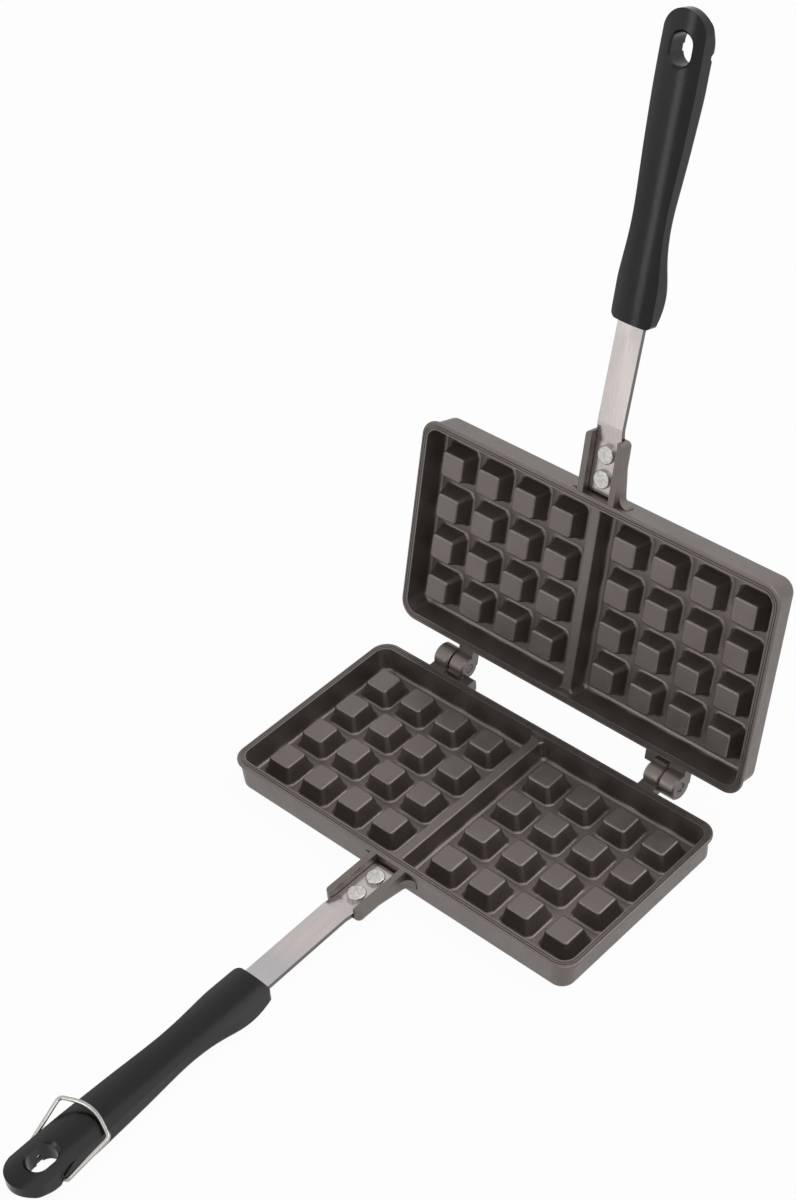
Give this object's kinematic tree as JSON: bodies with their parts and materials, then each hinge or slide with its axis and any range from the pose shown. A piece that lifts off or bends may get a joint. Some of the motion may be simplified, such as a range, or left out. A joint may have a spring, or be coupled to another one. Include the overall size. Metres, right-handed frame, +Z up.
{
  "type": "stovetop waffle iron",
  "caption": "Hinged stovetop waffle iron: two studded rectangular cast trays on a knuckle hinge, each with a strip tang and long moulded handle, and a wire bail that latches the handles shut.",
  "frame": {"origin": "centre of the lower plate's flat underside, which rests on the stove", "axes": "+X along the hinge, +Y from the handles towards the hinge, +Z up; the iron stands open as pictured"},
  "size_m": [0.2046, 0.4369, 0.3375],
  "materials": {
    "nonstick_coating": "dark satin non-stick coating",
    "stainless_strip": "brushed",
    "rivet_aluminium": "matte",
    "pin_steel": "plain",
    "bakelite": "satin",
    "bail_wire": "bright"
  },
  "bodies": {
    "lower_half": {"lower_plate": "nonstick_coating", "lower_hinge_pin": "pin_steel", "lower_tang": "stainless_strip", "lower_front_rivet": "rivet_aluminium", "lower_rear_rivet": "rivet_aluminium", "lower_handle": "bakelite", "lower_handle_screw": "pin_steel"},
    "upper_half": {"upper_plate": "nonstick_coating", "upper_hinge_pin": "pin_steel", "upper_tang": "stainless_strip", "upper_front_rivet": "rivet_aluminium", "upper_rear_rivet": "rivet_aluminium", "upper_handle": "bakelite", "upper_handle_screw": "pin_steel"},
    "bail": {"latch_bail": "bail_wire"}
  },
  "joints": [
    {"name": "closing_hinge", "type": "hinge", "parent": "lower_half", "child": "upper_half", "pos_m": [0, 0.0626, 0.01615], "axis": [1, 0, 0], "range_deg": [0, 105]},
    {"name": "bail_pivot", "type": "hinge", "parent": "lower_half", "child": "bail", "pos_m": [0, -0.2541, 0.0072], "axis": [1, 0, 0], "range_deg": [-5, 162]}
  ]
}
